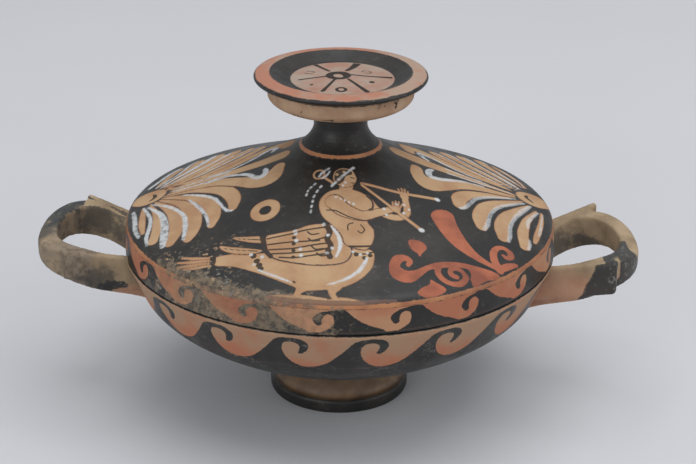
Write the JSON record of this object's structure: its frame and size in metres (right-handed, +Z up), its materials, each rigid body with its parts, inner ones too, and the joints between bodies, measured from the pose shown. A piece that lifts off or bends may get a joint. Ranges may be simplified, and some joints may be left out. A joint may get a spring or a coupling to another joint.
{
  "type": "lekane",
  "caption": "Shallow covered clay dish on a ring foot, with ribbon loop handles, flat spurs beside them, and a low conical lid with a stemmed disc knob",
  "frame": {"origin": "centre of the foot's resting plane, on the axis of the bowl", "axes": "+X towards the handle that is on the right in the picture, -Y towards the camera of the picture, +Z up"},
  "size_m": [0.252, 0.18, 0.142],
  "materials": {
    "bowl": "fired clay with a black gloss slip, reserved waves and bare clay on the foot and handles",
    "lid": "fired clay with a black gloss slip, reserved figures, leaves and waves with added white"
  },
  "bodies": {
    "root": {"bowl": "bowl", "lid": "lid"}
  },
  "joints": []
}
